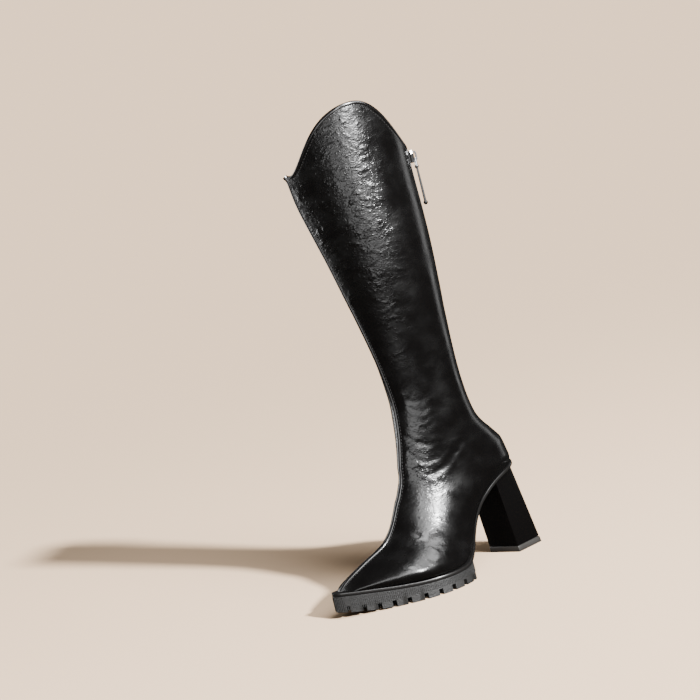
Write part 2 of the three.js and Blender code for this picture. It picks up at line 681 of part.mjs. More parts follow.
// The slim tab: an eye round the link's lower bar, a flat blade and a knob at its end.
function tabSolid() {
  const eyeCentre = hingePoint.clone().add(new THREE.Vector3(0, 0, -link.length));
  const across = (half) => [eyeCentre.clone().setX(-half), eyeCentre.clone().setX(half)];
  const eyeRadius = link.wire + gap + 0.8;
  const eyeHalf = link.width / 2 - link.wire - gap;
  const hole = rod(...across(eyeHalf + 1), link.wire + gap);
  const bladeTop = eyeCentre.z - link.wire - gap - 0.3;
  const bladeEnd = eyeCentre.z - tab.length;
  const blade = (z, half) =>
    [[-1, -1], [1, -1], [1, 1], [-1, 1]].map(
      ([u, v]) => new THREE.Vector3(u * half, eyeCentre.y + (v * tab.thickness) / 2, z),
    );
  const middle = THREE.MathUtils.lerp(bladeTop, bladeEnd, 0.2);
  const strip = loft([blade(bladeTop, 1), blade(middle, 1.15), blade(bladeEnd, tab.width / 2)]);
  const knob = new THREE.SphereGeometry(tab.knob, 12, 10).translate(0, eyeCentre.y, bladeEnd);
  const eye = rod(...across(eyeHalf), eyeRadius);
  return geometryFrom(eye.add(solidOf(strip)).subtract(hole).add(solidOf(knob)));
}

const boot = new THREE.Group();
boot.add(meshOf("upper", upperSolid(), leather));
boot.add(meshOf("insole", insoleSolid(), lining));
boot.add(meshOf("midsole", midsoleSolid(), edgeRubber));
boot.add(meshOf("outsole", outsoleSolid(), rubber));
boot.add(meshOf("heel", heelSolid(heel.tipHeight + gap, null), heelCover));
boot.add(meshOf("heel_tip", heelSolid(0, heel.tipHeight), rubber));
boot.add(meshOf("zip", zipSolid(), zipTape));
// The slider and its pull stand on the back of the turned shaft.
const zipParts = new THREE.Group();
zipParts.add(meshOf("zip_slider", sliderSolid(), steel));
zipParts.add(meshOf("pull_link", linkSolid(), steel));
zipParts.add(meshOf("pull_tab", tabSolid(), darkEnamel));
zipParts.rotation.z = turnAt(legRunAt(slider.z));
zipParts.position.copy(turned(new THREE.Vector3(), legRunAt(slider.z)));
boot.add(zipParts);

const box = new THREE.Box3().setFromObject(boot);
boot.position.set(-(box.min.x + box.max.x) / 2, -(box.min.y + box.max.y) / 2, -box.min.z);

const part = new THREE.Group();
part.add(boot);
export default part;
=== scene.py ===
import bpy
import bmesh
import json
import math
import random
import numpy as np
from mathutils import Matrix, Vector, noise

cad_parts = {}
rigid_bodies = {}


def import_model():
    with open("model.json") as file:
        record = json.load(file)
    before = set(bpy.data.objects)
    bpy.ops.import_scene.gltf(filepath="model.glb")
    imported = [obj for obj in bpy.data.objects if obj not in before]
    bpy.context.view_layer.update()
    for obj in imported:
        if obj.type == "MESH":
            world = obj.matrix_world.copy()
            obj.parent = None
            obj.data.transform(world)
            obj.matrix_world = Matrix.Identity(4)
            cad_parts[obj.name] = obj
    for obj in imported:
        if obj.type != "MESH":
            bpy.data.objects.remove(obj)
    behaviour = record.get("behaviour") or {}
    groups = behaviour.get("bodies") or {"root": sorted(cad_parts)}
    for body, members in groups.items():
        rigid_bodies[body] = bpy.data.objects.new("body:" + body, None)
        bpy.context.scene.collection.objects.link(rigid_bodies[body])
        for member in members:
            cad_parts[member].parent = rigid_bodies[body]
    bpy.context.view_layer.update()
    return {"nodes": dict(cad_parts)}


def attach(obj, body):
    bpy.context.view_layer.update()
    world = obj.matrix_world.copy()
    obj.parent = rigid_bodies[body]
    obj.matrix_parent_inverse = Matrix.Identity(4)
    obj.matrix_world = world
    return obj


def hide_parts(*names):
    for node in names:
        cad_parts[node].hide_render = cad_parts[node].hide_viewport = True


random.seed(11)
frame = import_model()
print("frame loaded")


# small helpers

def freshStart():
    if bpy.context.object and bpy.context.object.mode != "OBJECT":
        bpy.ops.object.mode_set(mode="OBJECT")
    bpy.ops.object.select_all(action="DESELECT")


def pick(piece):
    freshStart()
    piece.select_set(True)
    bpy.context.view_layer.objects.active = piece


def copyOfNode(nodeName, name):
    # a copy with its loose triangles merged, and paired into quads where they fit together
    piece = frame["nodes"][nodeName].copy()
    piece.data = frame["nodes"][nodeName].data.copy()
    piece.name = name
    piece.parent = None
    piece.data.materials.clear()
    bpy.context.scene.collection.objects.link(piece)
    pick(piece)
    bpy.ops.object.mode_set(mode="EDIT")
    bpy.ops.mesh.select_all(action="SELECT")
    bpy.ops.mesh.remove_doubles(threshold=0.00002)
    bpy.ops.mesh.normals_make_consistent(inside=False)
    bpy.ops.mesh.tris_convert_to_quads(face_threshold=math.radians(60), shape_threshold=math.radians(100))
    bpy.ops.object.mode_set(mode="OBJECT")
    return piece


def applyAll(piece):
    pick(piece)
    for modifier in list(piece.modifiers):
        bpy.ops.object.modifier_apply(modifier=modifier.name)


def rounded(piece, levels):
    softener = piece.modifiers.new("soft", "SUBSURF")
    softener.levels = softener.render_levels = levels
    applyAll(piece)
    bpy.ops.object.shade_smooth()


def finish(piece, body, slotName, material, *nodes):
    piece.data.materials.clear()
    piece.data.materials.append(material)
    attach(piece, body)
    if nodes:
        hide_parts(*nodes)


def bevelledBlock(size, bevel):
    freshStart()
    bpy.ops.mesh.primitive_cube_add(size=1)
    block = bpy.context.object
    block.scale = size
    bpy.ops.object.transform_apply(location=False, rotation=False, scale=True)
    bpy.ops.object.mode_set(mode="EDIT")
    bpy.ops.mesh.select_all(action="SELECT")
    bpy.ops.mesh.bevel(offset=bevel, segments=1, affect="EDGES")
    bpy.ops.object.mode_set(mode="OBJECT")
    return block


def copyAt(model, *moves):
    # a copy with its own mesh, moved by each matrix in turn
    each = model.copy()
    each.data = model.data.copy()
    for move in moves:
        each.data.transform(move)
    bpy.context.scene.collection.objects.link(each)
    return each


def standing(across, up, forward, place):
    # the matrix that takes X, Y and Z to these three ways, and the middle to the place
    move = Matrix((across, up, forward)).transposed().to_4x4()
    move.translation = place
    return move


def joinAll(copies, name):
    freshStart()
    for each in copies:
        each.select_set(True)
    bpy.context.view_layer.objects.active = copies[0]
    bpy.ops.object.join()
    joined = bpy.context.object
    joined.name = name
    return joined


def tube(name, path, radius, roundness):
    curve = bpy.data.curves.new(name, "CURVE")
    curve.dimensions = "3D"
    curve.bevel_depth = radius
    curve.bevel_resolution = roundness
    curve.use_fill_caps = True
    spline = curve.splines.new("POLY")
    spline.points.add(len(path) - 1)
    for point, place in zip(spline.points, path):
        point.co = (place[0], place[1], place[2], 1)
    piece = bpy.data.objects.new(name, curve)
    bpy.context.scene.collection.objects.link(piece)
    pick(piece)
    bpy.ops.object.convert(target="MESH")
    piece = bpy.context.object
    pick(piece)
    bpy.ops.object.shade_smooth()
    return piece


def spaced(path, step):
    # the same path with its points an even step apart
    path = [Vector(p) for p in path]
    out, carried = [path[0].copy()], 0.0
    for a, b in zip(path, path[1:]):
        length = (b - a).length
        while carried + length >= step:
            share = (step - carried) / length
            a = a.lerp(b, share)
            out.append(a.copy())
            length = (b - a).length
            carried = 0.0
        carried += length
    return out


def eased(path, times):
    # the path with its kinks drawn out and its two ends held
    path = [Vector(p) for p in path]
    for _ in range(times):
        path = [path[0]] + [(a + b * 2 + c) / 4 for a, b, c in zip(path, path[1:], path[2:])] + [path[-1]]
    return path


# finishes

def newMaterial(name, colour, roughness, **sockets):
    material = bpy.data.materials.new(name)
    material.use_nodes = True
    shader = material.node_tree.nodes["Principled BSDF"]
    shader.inputs["Base Color"].default_value = (*colour, 1)
    shader.inputs["Roughness"].default_value = roughness
    for socket, value in sockets.items():
        shader.inputs[socket.replace("_", " ")].default_value = value
    return material, material.node_tree, shader


def node(tree, kind, **settings):
    # each setting goes to the socket of that name, or else to the option
    made = tree.nodes.new(kind)
    for key, value in settings.items():
        if key in made.inputs:
            made.inputs[key].default_value = value
        else:
            setattr(made, key, value)
    return made


def objectPlace(tree, scale=(1, 1, 1)):
    place = node(tree, "ShaderNodeTexCoord")
    mapping = node(tree, "ShaderNodeMapping", Scale=scale)
    tree.links.new(place.outputs["Object"], mapping.inputs["Vector"])
    return mapping.outputs["Vector"]


def noiseOn(tree, place, scale, detail, **settings):
    made = node(tree, "ShaderNodeTexNoise", noise_dimensions="3D", Scale=scale, Detail=detail, **settings)
    tree.links.new(place, made.inputs["Vector"])
    return made.outputs


def bumpFrom(tree, height, strength, distance, before=None):
    bump = node(tree, "ShaderNodeBump", Strength=strength, Distance=distance)
    tree.links.new(height, bump.inputs["Height"])
    if before:
        tree.links.new(before, bump.inputs["Normal"])
    return bump.outputs["Normal"]


def mathNode(tree, operation, a, b, clamp=False):
    made = node(tree, "ShaderNodeMath", operation=operation, use_clamp=clamp)
    for index, value in enumerate((a, b)):
        if isinstance(value, (int, float)):
            made.inputs[index].default_value = value
        else:
            tree.links.new(value, made.inputs[index])
    return made.outputs[0]


def ranged(tree, value, fromRange, toRange):
    made = node(tree, "ShaderNodeMapRange")
    made.inputs["From Min"].default_value, made.inputs["From Max"].default_value = fromRange
    made.inputs["To Min"].default_value, made.inputs["To Max"].default_value = toRange
    tree.links.new(value, made.inputs["Value"])
    return made.outputs["Result"]


leather = {  # noises are in waves a metre, more or less, and depths in metres
    "colour": (0.0012, 0.0011, 0.0011),
    "specular": 0.42,
    "even": 0.2,  # roughness on the socket itself, under what is linked to it
    "roughness": (0.17, 0.3),  # as new, and in handled places
    "handled": 55,
    "handledRange": (0.35, 0.7),
    "crumpledDull": 0.1,
    "upright": 1.35,  # wrinkles lie a little more across the leg than up it
    "wrinkle": 380,
    "wrinkleDepth": 0.0015,
    "longWrinkle": 0.3,
    "wander": 120,  # the line of each wrinkle wanders
    "wanderReach": 0.007,
    "swell": 30,
    "swellDepth": 0.003,
    "pores": 1500,
    "poreDepth": 0.0002,
}


def leatherMaterial(name):
    material, tree, shader = newMaterial(name, leather["colour"], leather["even"])
    shader.inputs["Specular IOR Level"].default_value = leather["specular"]
    place = objectPlace(tree, (1, 1, leather["upright"]))
    crumpled = node(tree, "ShaderNodeAttribute", attribute_name="crumple").outputs["Fac"]

    wander = node(tree, "ShaderNodeVectorMath", operation="MULTIPLY_ADD")
    tree.links.new(noiseOn(tree, place, leather["wander"], 2)["Color"], wander.inputs[0])
    wander.inputs[1].default_value = [leather["wanderReach"]] * 3
    tree.links.new(place, wander.inputs[2])
    moved = wander.outputs[0]
    ridged = {"noise_type": "RIDGED_MULTIFRACTAL"}
    short = noiseOn(tree, moved, leather["wrinkle"], 3, Roughness=0.55, **ridged)["Fac"]
    longer = noiseOn(tree, moved, leather["wrinkle"] * leather["longWrinkle"], 2, **ridged)["Fac"]
    both = mathNode(tree, "ADD", mathNode(tree, "MULTIPLY", short, 0.5),
                    mathNode(tree, "MULTIPLY", longer, 0.9))
    wrinkled = bumpFrom(tree, mathNode(tree, "MULTIPLY", both, crumpled), 0.85, leather["wrinkleDepth"])

    pores = noiseOn(tree, place, leather["pores"], 2)["Fac"]
    porous = bumpFrom(tree, pores, 0.1, leather["poreDepth"], wrinkled)
    swell = mathNode(tree, "MULTIPLY", noiseOn(tree, place, leather["swell"], 3)["Fac"], crumpled)
    tree.links.new(bumpFrom(tree, swell, 0.45, leather["swellDepth"], porous), shader.inputs["Normal"])

    # handled places are a little duller, and so is crumpled film
    handled = noiseOn(tree, place, leather["handled"], 5)["Fac"]
    dull = ranged(tree, handled, leather["handledRange"], leather["roughness"])
    added = mathNode(tree, "MULTIPLY", crumpled, leather["crumpledDull"])
    tree.links.new(mathNode(tree, "ADD", dull, added, clamp=True), shader.inputs["Roughness"])
    return material


unevenness = 0.07  # how far a plain finish is glossier and duller than its roughness


def plainMaterial(name, colour, roughness, scale, strength, distance, **sockets):
    # a fine grain, and broad patches that differ a little in gloss
    material, tree, shader = newMaterial(name, colour, roughness, **sockets)
    place = objectPlace(tree)
    grain = noiseOn(tree, place, scale, 5)["Fac"]
    tree.links.new(bumpFrom(tree, grain, strength, distance), shader.inputs["Normal"])
    patches = noiseOn(tree, place, scale / 14, 2)["Fac"]
    limits = roughness - unevenness, min(roughness + unevenness, 1)
    tree.links.new(ranged(tree, patches, (0, 1), limits), shader.inputs["Roughness"])
    return material


upperLeather = leatherMaterial("blackLeather")
bindingLeather = plainMaterial("bindingLeather", (0.003, 0.0028, 0.0028), 0.2, 700, 0.25, 0.0003)
toothNylon = plainMaterial("zipTeeth", (0.03, 0.03, 0.031), 0.35, 900, 0.1, 0.0001)
liningCloth = plainMaterial("greyLining", (0.018, 0.017, 0.016), 0.8, 900, 0.5, 0.0003)
edgeRubber = plainMaterial("welt", (0.004, 0.0038, 0.0037), 0.3, 500, 0.2, 0.0003)
soleRubber = plainMaterial("soleRubber", (0.007, 0.007, 0.007), 0.5, 650, 0.7, 0.0005)
heelCoat = plainMaterial("heelCover", (0.0012, 0.0011, 0.0011), 0.2, 300, 0.15, 0.0003,
                         Specular_IOR_Level=0.3)
tipRubber = plainMaterial("topPiece", (0.012, 0.011, 0.01), 0.5, 600, 0.4, 0.0004)
tapeCloth = plainMaterial("zipTape", (0.008, 0.008, 0.009), 0.7, 1500, 0.6, 0.0002)
threadStuff = plainMaterial("thread", (0.008, 0.0075, 0.0075), 0.62, 3000, 0.5, 0.0001)
polishedSteel = plainMaterial("polishedSteel", (0.78, 0.78, 0.79), 0.16, 400, 0.05, 0.0001, Metallic=1.0)
tabEnamel = plainMaterial("blackEnamel", (0.003, 0.003, 0.003), 0.5, 400, 0.05, 0.0001,
                          Specular_IOR_Level=0.2)
print("finishes mixed")


# upper

upper = {
    "smoothLevels": 2,
    "sharp": 40,  # degrees at an edge from which it counts as a rim
    "heelBand": (0.086, 0.118),  # heights between which the counter is eased
    "bandFade": (0.006, 0.008),  # how soon that comes in from below and from above
    "rimClear": (0.006, 0.004),  # no easing this near a rim, and how soon it comes in from there
    "easing": (0.6, 60),  # strength and rounds
    "creaseClear": (0.003, 0.005),
    "leg": (0.1, 0.48),  # heights from the foot's top to over the collar
    "foot": (-0.12, 0.12),  # from before the toe to behind the heel
    "slice": 0.01,
    "overSeat": 0.004,  # how far the foot's middle lies over its lowest point
    "ridge": (0.45, 1.7, 0.8),  # a crease's ridges: share of its depth, place and width in its widths
    "swell": 0.0003,  # slow unevenness of the pulled leather
    "swellNoise": ((28, 0.7), (75, 0.3)),  # waves a metre, share
}


def crease(width, depth, *points):
    return {"points": points, "width": width, "depth": depth}


# soft creases, each with its width and depth and a line of points, in metres
creases = [
    # fold that runs down from the collar's front
    crease(0.0022, 0.0005, (-0.018, -0.043, 0.425), (-0.002, -0.041, 0.418), (0.013, -0.036, 0.410)),
    # shallow hollows round the ankle
    crease(0.003, 0.0004, (0.006, -0.010, 0.146), (0.013, -0.006, 0.140), (0.022, 0.004, 0.136)),
    crease(0.003, 0.00045, (0.009, -0.013, 0.129), (0.017, -0.007, 0.121), (0.026, 0.008, 0.120)),
    crease(0.0035, 0.0005, (0.031, 0.034, 0.127), (0.027, 0.014, 0.112), (0.020, -0.002, 0.106)),
    crease(0.0035, 0.0005, (-0.024, -0.002, 0.139), (-0.027, 0.008, 0.132), (-0.030, 0.026, 0.128)),
    crease(0.0035, 0.0005, (-0.023, -0.008, 0.121), (-0.027, 0.002, 0.114), (-0.029, 0.014, 0.112)),
    # where the vamp bends
    crease(0.003, 0.0002, (0.038, -0.050, 0.034), (0.030, -0.046, 0.046), (0.020, -0.046, 0.052)),
    crease(0.003, 0.00018, (0.038, -0.040, 0.036), (0.029, -0.036, 0.050), (0.018, -0.036, 0.057)),
    crease(0.0035, 0.0004, (-0.036, -0.044, 0.034), (-0.028, -0.042, 0.046), (-0.018, -0.042, 0.053)),
]
# small arrow-like wrinkles up the outer side of the ankle, none quite like the next
arrows = {"top": 0.197, "bottom": 0.128}
height = arrows["top"]
while height > arrows["bottom"]:
    spread, lean = random.uniform(0.7, 1.15), random.uniform(-0.0015, 0.0015)
    creases.append(crease(
        random.uniform(0.0014, 0.0021), random.uniform(0.00016, 0.0003),
        (0.0125 + lean, -0.004, height + 0.0045 * spread), (0.0215, 0.003, height - 0.0025),
        (0.0275 + lean, 0.012, height + 0.003 * spread)))
    height -= random.uniform(0.0065, 0.0105)
# and short ones that spread from the bend of the ankle
bend = {"near": 0.0295, "far": 0.0285, "y": 0.020, "z": 0.118, "start": 0.004, "width": 0.0019}
for turn in (20, 62, 108, 150, 205, 250, 300):
    swing, reach = math.radians(turn + random.uniform(-9, 9)), random.uniform(0.009, 0.015)
    along, up = math.cos(swing), math.sin(swing)
    creases.append(crease(
        bend["width"], random.uniform(0.00018, 0.0003),
        (bend["near"], bend["y"] + along * bend["start"], bend["z"] + up * bend["start"]),
        (bend["far"], bend["y"] + along * reach, bend["z"] + up * reach)))

# the rims, the front seam's line and the zip's slot are walked along the plain upper's edges
walks = {
    "frontDip": ((-0.0345, -0.0445, 0.4197), (-0.0336, -0.0428, 0.4199)),  # on the outer and the inner wall
    "rearDip": (0.05, 0.4178),  # a rim has reached the zip behind this y and under this height
    "slotFoot": 0.1315,
    "rimAngle": 50,
    "straight": 0.3,  # least cosine between one step and the next
    "straighter": 0.6,
    "most": 500,
}
cage = copyOfNode("upper", "upperCage")
shape = bmesh.new()
shape.from_mesh(cage.data)
bpy.data.objects.remove(cage)
shape.normal_update()


def nearestVert(place):
    return min(shape.verts, key=lambda v: (v.co - Vector(place)).length)


def walkRim(start, heading, stop):
    # straight on along sharp edges only
    chain, here, heading = [start], start, Vector(heading).normalized()
    while len(chain) < walks["most"]:
        best, bestDot = None, walks["straight"]
        for edge in here.link_edges:
            other = edge.other_vert(here)
            flat = len(edge.link_faces) != 2 or edge.calc_face_angle() < math.radians(walks["rimAngle"])
            if flat or other in chain[-4:]:
                continue
            dot = (other.co - here.co).normalized().dot(heading)
            if dot > bestDot:
                best, bestDot = other, dot
        if best is None or stop(best.co):
            break
        heading = (best.co - here.co).normalized()
        chain.append(best)
        here = best
    return chain


def walkAlong(start, heading):
    # straight on along any edge
    chain, here, heading = [start], start, Vector(heading).normalized()
    while len(chain) < walks["most"]:
        best, bestDot = None, walks["straighter"]
        for edge in here.link_edges:
            other = edge.other_vert(here)
            dot = (other.co - here.co).normalized().dot(heading)
            if dot > bestDot and other not in chain[-4:]:
                best, bestDot = other, dot
        if best is None:
            break
        heading = (heading + (best.co - here.co).normalized() * 2).normalized()
        chain.append(best)
        here = best
    return [v.co.copy() for v in chain]


def atZip(place):
    return place.y > walks["rearDip"][0] and place.z < walks["rearDip"][1]


def underSlot(place):
    return place.z < walks["slotFoot"]


tips = [nearestVert(place) for place in walks["frontDip"]]
rims, slotEdges = {}, {}
for side, heading in (("outer", (1, 0, -0.3)), ("inner", (-0.5, 1, -0.3))):
    rims[side] = [walkRim(tip, heading, atZip) for tip in tips]
    slotEdges[side] = [v.co.copy() for v in walkRim(rims[side][0][-1], (0, 0, -1), underSlot)]
    print("rim and slot", side, len(rims[side][0]), len(slotEdges[side]))
seamLine = walkAlong(tips[0], (0.05, 0.08, -1))
print("seam line", len(seamLine))


def rimFrames(side):
    # for each place along the rim: outside point, inside point, way out, way down the outside
    frames = []
    outs, ins = rims[side]
    for index in range(min(len(outs), len(ins))):
        out, inside = outs[index], ins[index]
        wall = (out.co - inside.co).normalized()
        before, after = outs[max(index - 1, 0)].co, outs[min(index + 1, len(outs) - 1)].co
        ahead = (after - before).normalized()
        down = ahead.cross(wall).normalized()
        if down.z > 0:
            down = -down
        frames.append((out.co.copy(), inside.co.copy(), wall, down))
    return frames


rimPlaces = {side: rimFrames(side) for side in rims}
shape.free()

skin = copyOfNode("upper", "upperSkin")
rounded(skin, upper["smoothLevels"])


def meshArrays(piece):
    count = len(piece.data.vertices)
    places, normals = np.empty(count * 3), np.empty(count * 3)
    piece.data.vertices.foreach_get("co", places)
    piece.data.vertices.foreach_get("normal", normals)
    return places.reshape(-1, 3), normals.reshape(-1, 3)


def edgeArray(piece):
    edges = np.empty(len(piece.data.edges) * 2, dtype=np.int64)
    piece.data.edges.foreach_get("vertices", edges)
    return edges.reshape(-1, 2)


def relax(places, edges, weight, times):
    # each place is drawn by its weight towards the middle of its neighbours
    count = len(places)
    links = np.bincount(edges.ravel(), minlength=count).astype(float)
    for _ in range(times):
        total = np.zeros_like(places)
        for axis in range(3):
            total[:, axis] = (np.bincount(edges[:, 0], weights=places[edges[:, 1], axis], minlength=count)
                              + np.bincount(edges[:, 1], weights=places[edges[:, 0], axis], minlength=count))
        places = places + weight[:, None] * (total / links[:, None] - places)
    return places


def sharpVerts(piece, degrees):
    mesh = bmesh.new()
    mesh.from_mesh(piece.data)
    mesh.normal_update()
    found = set()
    for edge in mesh.edges:
        if len(edge.link_faces) == 2 and edge.calc_face_angle() > math.radians(degrees):
            found.update(v.index for v in edge.verts)
    mesh.free()
    return sorted(found)


def distanceTo(places, targets, block=4000):
    # distance of every place to the nearest of the targets, worked out in blocks
    out = np.empty(len(places))
    for start in range(0, len(places), block):
        some = places[start:start + block]
        out[start:start + block] = np.sqrt(((some[:, None, :] - targets[None]) ** 2).sum(-1)).min(1)
    return out


def distanceToLine(places, points):
    best = np.full(len(places), np.inf)
    for a, b in zip(points, points[1:]):
        a, b = np.array(a), np.array(b)
        way = b - a
        share = np.clip(((places - a) @ way) / (way @ way), 0, 1)
        best = np.minimum(best, np.linalg.norm(places - (a + share[:, None] * way), axis=1))
    return best


def smoothLine(points, pieces=8):
    # rounded line through the given points
    points = [Vector(p) for p in points]
    points = [points[0] * 2 - points[1]] + points + [points[-1] * 2 - points[-2]]
    out = []
    for a, b, c, d in zip(points, points[1:], points[2:], points[3:]):
        for index in range(pieces):
            t = index / pieces
            out.append(0.5 * (b * 2 + (c - a) * t + (a * 2 - b * 5 + c * 4 - d) * t * t
                              + (b * 3 - a - c * 3 + d) * t ** 3))
    return out + [points[-2]]


def rise(values, start, length):
    # 0 up to the start, then up to 1 over the length
    return np.clip((values - start) / length, 0, 1)


def bell(values, middle, width):
    return np.exp(-((values - middle) / width) ** 2)


def noiseAt(places, scale):
    return np.array([noise.noise(Vector(p) * scale) for p in places])


places, normals = meshArrays(skin)
rimDistance = distanceTo(places, places[sharpVerts(skin, upper["sharp"])])
bandLow, bandHigh = upper["heelBand"]
fadeLow, fadeHigh = upper["bandFade"]
band = rise(places[:, 2], bandLow, fadeLow) * np.clip((bandHigh - places[:, 2]) / fadeHigh, 0, 1)
band *= rise(rimDistance, *upper["rimClear"])
strength, rounds = upper["easing"]
places = relax(places, edgeArray(skin), band * strength, rounds)

# which wall a point is on: the outer one faces away from the leg's or the foot's middle
outward = np.zeros(len(places))
for start in np.arange(*upper["leg"], upper["slice"]):
    level = (places[:, 2] >= start) & (places[:, 2] < start + upper["slice"])
    if level.any():
        centre = (places[level].min(0) + places[level].max(0)) / 2
        outward[level] = ((places[level] - centre)[:, :2] * normals[level][:, :2]).sum(1)
foot = places[:, 2] < upper["leg"][0]
for start in np.arange(*upper["foot"], upper["slice"]):
    level = foot & (places[:, 1] >= start) & (places[:, 1] < start + upper["slice"])
    if level.any():
        halfWay = (places[level, 0].min() + places[level, 0].max()) / 2
        centre = np.array([halfWay, start, places[level, 2].min() + upper["overSeat"]])
        outward[level] = ((places[level] - centre) * normals[level])[:, [0, 2]].sum(1)
sign = np.where(outward >= 0, 1.0, -1.0)

# each crease is a soft trough between two low ridges
ridgeShare, ridgePlace, ridgeWidth = upper["ridge"]
push = np.zeros(len(places))
for each in creases:
    reach = distanceToLine(places, [tuple(p) for p in smoothLine(each["points"])]) / each["width"]
    push += each["depth"] * (-bell(reach, 0, 1) + ridgeShare * bell(reach, ridgePlace, ridgeWidth))
push += upper["swell"] * sum(noiseAt(places, waves) * share for waves, share in upper["swellNoise"])
clear = rise(rimDistance, *upper["creaseClear"])
places = places + normals * (sign * push * clear)[:, None]
skin.data.vertices.foreach_set("co", places.ravel())
skin.data.update()

# how crumpled the film is: most on the front half of the shaft and round the ankle
crumple = {
    "axisY": 0.012,  # the leg's middle, round which its front is told from its back
    "front": (0.7, 0.7),  # radians from the toe's way to the most crumpled, and how wide that is
    "shaft": (0.2, 0.16, 0.95),  # height where it starts, how soon it comes in, share
    "ankle": (0.118, 0.045, 0.65),  # height, spread, share
    "vamp": (0.04, 0.03, 0.12),
    "everywhere": 0.07,
    "least": 0.05,
    "patch": 45,
    "calm": 0.45,  # what a patch keeps where its noise is lowest
}
shaftFrom, shaftFade, shaftShare = crumple["shaft"]
ankleHeight, ankleSpread, ankleShare = crumple["ankle"]
vampHeight, vampSpread, vampShare = crumple["vamp"]
azimuth = np.arctan2(places[:, 0], -places[:, 1] + crumple["axisY"])
front = bell(np.abs(azimuth), *crumple["front"])
shaft = rise(places[:, 2], shaftFrom, shaftFade) * shaftShare
ankle = bell(places[:, 2], ankleHeight, ankleSpread) * ankleShare
vamp = bell(places[:, 2], vampHeight, vampSpread) * vampShare
patches = noiseAt(places, crumple["patch"]) * 0.5 + 0.5
crumpled = crumple["everywhere"] + front * (shaft + ankle + vamp) * (crumple["calm"] + patches)
attribute = skin.data.attributes.new("crumple", "FLOAT", "POINT")
attribute.data.foreach_set("value", np.clip(crumpled, crumple["least"], 1))
finish(skin, "boot", "upper_leather", upperLeather, "upper")
print("upper skin", len(places))

# collar binding: a strip folded over the rim
binding = {
    "reach": 0.0031,
    "proud": 0.0005,
    "over": 0.0006,
    "shoulder": 0.0006,
    "sunk": 0.0002,  # its edges end this deep in the wall
    "crown": 0.3,  # half of its top's width, as a share of the wall
    "corners": 8,
    "smoothLevels": 2,
}
for side in rimPlaces:
    points, quads = [], []
    for out, inside, wall, down in rimPlaces[side]:
        middle, thick = (out + inside) / 2, out - inside
        proud = wall * binding["proud"]
        points += [
            out + wall * -binding["sunk"] + down * binding["reach"],
            out + proud + down * binding["reach"],
            out + proud + down * binding["shoulder"],
            middle + thick * binding["crown"] - down * binding["over"],
            middle - thick * binding["crown"] - down * binding["over"],
            inside - proud + down * binding["shoulder"],
            inside - proud + down * binding["reach"],
            inside + wall * binding["sunk"] + down * binding["reach"],
        ]
    corners = binding["corners"]
    last = len(points) - corners
    for row in range(0, last, corners):
        for column in range(corners):
            after = (column + 1) % corners
            quads.append((row + column, row + after, row + corners + after, row + corners + column))
    quads.append(tuple(range(corners)))
    quads.append(tuple(range(last + corners - 1, last - 1, -1)))
    mesh = bpy.data.meshes.new("collarBinding")
    mesh.from_pydata([tuple(p) for p in points], [], quads)
    strip = bpy.data.objects.new("collarBinding_" + side, mesh)
    bpy.context.scene.collection.objects.link(strip)
    pick(strip)
    bpy.ops.object.mode_set(mode="EDIT")
    bpy.ops.mesh.select_all(action="SELECT")
    bpy.ops.mesh.normals_make_consistent(inside=False)
    bpy.ops.object.mode_set(mode="OBJECT")
    rounded(strip, binding["smoothLevels"])
    finish(strip, "boot", "upper_leather", bindingLeather)
print("collar binding")

# stitches: one is modelled, the rest are copies laid along a line
stitch = {
    "length": 0.0021,
    "thickness": 0.00028,
    "pitch": 0.0031,
    "straight": 0.6,  # share of the length between its tapered ends
    "end": 0.2,
    "taper": 0.4,
    "frontSide": 0.0041,  # how far the rows lie from the front seam, the collar and the slot
    "frontSink": 0.00005,
    "collarDrop": 0.0054,
    "slotSide": 0.0034,
    "collarStep": 0.003,  # the rims' and the slot's edges are evened out in steps of these
    "slotStep": 0.004,
}


def oneStitch():
    freshStart()
    straight = stitch["length"] * stitch["straight"]
    bpy.ops.mesh.primitive_cylinder_add(vertices=6, radius=stitch["thickness"], depth=straight)
    piece = bpy.context.object
    end, taper = stitch["length"] * stitch["end"], (stitch["taper"], stitch["taper"], 1)
    bpy.ops.object.mode_set(mode="EDIT")
    bpy.ops.mesh.select_all(action="DESELECT")
    net = bmesh.from_edit_mesh(piece.data)
    for face in net.faces:
        face.select = abs(face.normal.z) > 0.9
    bmesh.update_edit_mesh(piece.data)
    for face in net.faces:
        face.select = face.normal.z > 0.9
    bpy.ops.mesh.extrude_region_move(TRANSFORM_OT_translate={"value": (0, 0, end)})
    bpy.ops.transform.resize(value=taper)
    bpy.ops.mesh.select_all(action="DESELECT")
    net = bmesh.from_edit_mesh(piece.data)
    for face in net.faces:
        face.select = face.normal.z < -0.9
    bpy.ops.mesh.extrude_region_move(TRANSFORM_OT_translate={"value": (0, 0, -end)})
    bpy.ops.transform.resize(value=taper)
    bpy.ops.object.mode_set(mode="OBJECT")
    return piece


def laidAlong(name, model, spots):
    # copies of the model joined into one piece; a spot is place, forward, up
    copies = []
    for place, forward, up in spots:
        forward, up = forward.normalized(), up.normalized()
        across = up.cross(forward).normalized()
        up = forward.cross(across).normalized()
        copies.append(copyAt(model, standing(across, up, forward, place)))
    joined = joinAll(copies, name)
    pick(joined)
    bpy.ops.object.shade_smooth_by_angle(angle=math.radians(45))
    return joined


def spotsOn(path, surface, lift=0.0, side=0.0):
    # a stitch's pitch apart along a path, dropped on the surface; side shifts them across it
    spots = []
    track = spaced(path, stitch["pitch"])
    for a, b in zip(track, track[1:]):
        forward = b - a
        place, normal = surface.closest_point_on_mesh((a + b) / 2)[1:3]
        if side:
            across = normal.cross(forward).normalized()
            place, normal = surface.closest_point_on_mesh(place + across * side)[1:3]
        spots.append((place + normal * lift, forward, normal))
    return spots


